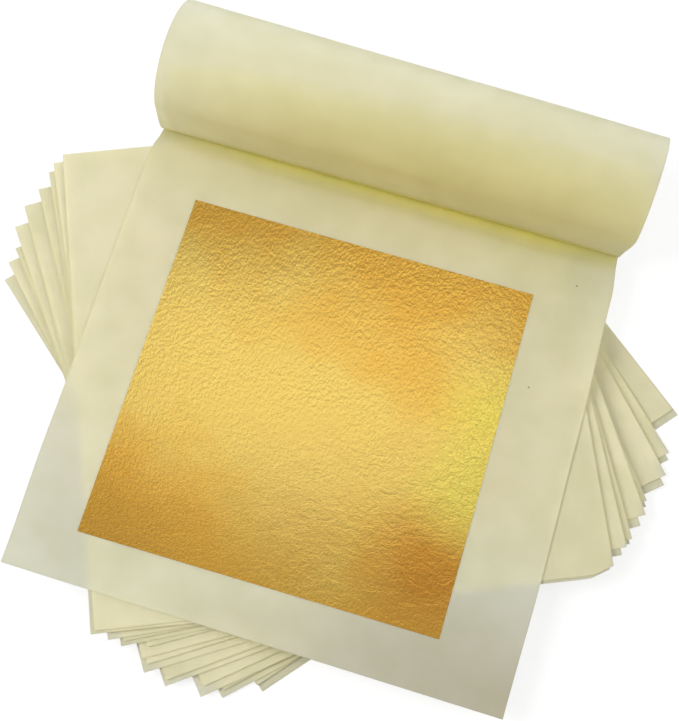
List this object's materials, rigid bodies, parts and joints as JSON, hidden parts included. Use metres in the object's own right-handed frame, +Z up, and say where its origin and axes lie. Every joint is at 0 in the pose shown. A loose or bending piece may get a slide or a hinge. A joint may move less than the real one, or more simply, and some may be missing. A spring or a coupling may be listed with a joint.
{
  "type": "gold leaf booklet",
  "caption": "Fanned pack of square paper folders that each hold a gold leaf, with the top folder open and its cover leaf rolled back.",
  "frame": {"origin": "under the centre of the open page's outline, on the surface that the pack lies on", "axes": "+X along the fold of the open page, +Y from the page's front edge to its fold, +Z up"},
  "size_m": [0.1578, 0.1607, 0.0327],
  "materials": {
    "interleaving_paper": "satin",
    "gold_leaf": "polished"
  },
  "bodies": {
    "folder_9": {"folder_9": "interleaving_paper", "inner_leaf_9": "gold_leaf"},
    "folder_8": {"folder_8": "interleaving_paper", "inner_leaf_8": "gold_leaf"},
    "folder_7": {"folder_7": "interleaving_paper", "inner_leaf_7": "gold_leaf"},
    "folder_6": {"folder_6": "interleaving_paper", "inner_leaf_6": "gold_leaf"},
    "folder_5": {"folder_5": "interleaving_paper", "inner_leaf_5": "gold_leaf"},
    "folder_4": {"folder_4": "interleaving_paper", "inner_leaf_4": "gold_leaf"},
    "folder_3": {"folder_3": "interleaving_paper", "inner_leaf_3": "gold_leaf"},
    "folder_2": {"folder_2": "interleaving_paper", "inner_leaf_2": "gold_leaf"},
    "folder_1": {"folder_1": "interleaving_paper", "inner_leaf_1": "gold_leaf"},
    "open_page": {"open_page": "interleaving_paper"},
    "cover_leaf": {"rolled_cover_leaf": "interleaving_paper"},
    "gold_leaf": {"gold_leaf": "gold_leaf"}
  },
  "joints": [
    {"name": "page_swivel", "type": "hinge", "parent": "folder_1", "child": "open_page", "pos_m": [-0.0228, -0.00302, 0.00675], "axis": [0, 0, 1], "range_deg": [-23.5, 23.5]},
    {"name": "folder_1_swivel", "type": "hinge", "parent": "folder_2", "child": "folder_1", "pos_m": [-0.03058, 0.00745, 0.006], "axis": [0, 0, 1], "range_deg": [-3, 3]},
    {"name": "folder_2_swivel", "type": "hinge", "parent": "folder_3", "child": "folder_2", "pos_m": [-0.0157, 0.01999, 0.00525], "axis": [0, 0, 1], "range_deg": [-2, 2]},
    {"name": "folder_3_swivel", "type": "hinge", "parent": "folder_4", "child": "folder_3", "pos_m": [-0.00457, 0.01439, 0.0045], "axis": [0, 0, 1], "range_deg": [-3.5, 3.5]},
    {"name": "folder_4_swivel", "type": "hinge", "parent": "folder_5", "child": "folder_4", "pos_m": [0.03413, -0.01513, 0.00375], "axis": [0, 0, 1], "range_deg": [-2, 2]},
    {"name": "folder_5_swivel", "type": "hinge", "parent": "folder_6", "child": "folder_5", "pos_m": [0.00523, 0.01399, 0.003], "axis": [0, 0, 1], "range_deg": [-3.5, 3.5]},
    {"name": "folder_6_swivel", "type": "hinge", "parent": "folder_7", "child": "folder_6", "pos_m": [-0.01198, 0.04184, 0.00225], "axis": [0, 0, 1], "range_deg": [-4, 4]},
    {"name": "folder_7_swivel", "type": "hinge", "parent": "folder_8", "child": "folder_7", "pos_m": [-0.02325, 0.00238, 0.0015], "axis": [0, 0, 1], "range_deg": [-3.5, 3.5]},
    {"name": "folder_8_swivel", "type": "hinge", "parent": "folder_9", "child": "folder_8", "pos_m": [-0.03737, 0.01314, 0.00075], "axis": [0, 0, 1], "range_deg": [-5.5, 5.5]},
    {"name": "cover_leaf_tip", "type": "hinge", "parent": "open_page", "child": "cover_leaf", "pos_m": [0, 0.05035, 0.00721], "axis": [1, 0, 0], "range_deg": [0, 65]},
    {"name": "gold_leaf_lift", "type": "slide", "parent": "open_page", "child": "gold_leaf", "axis": [0, 0, 1], "range_m": [0, 0.04]}
  ]
}
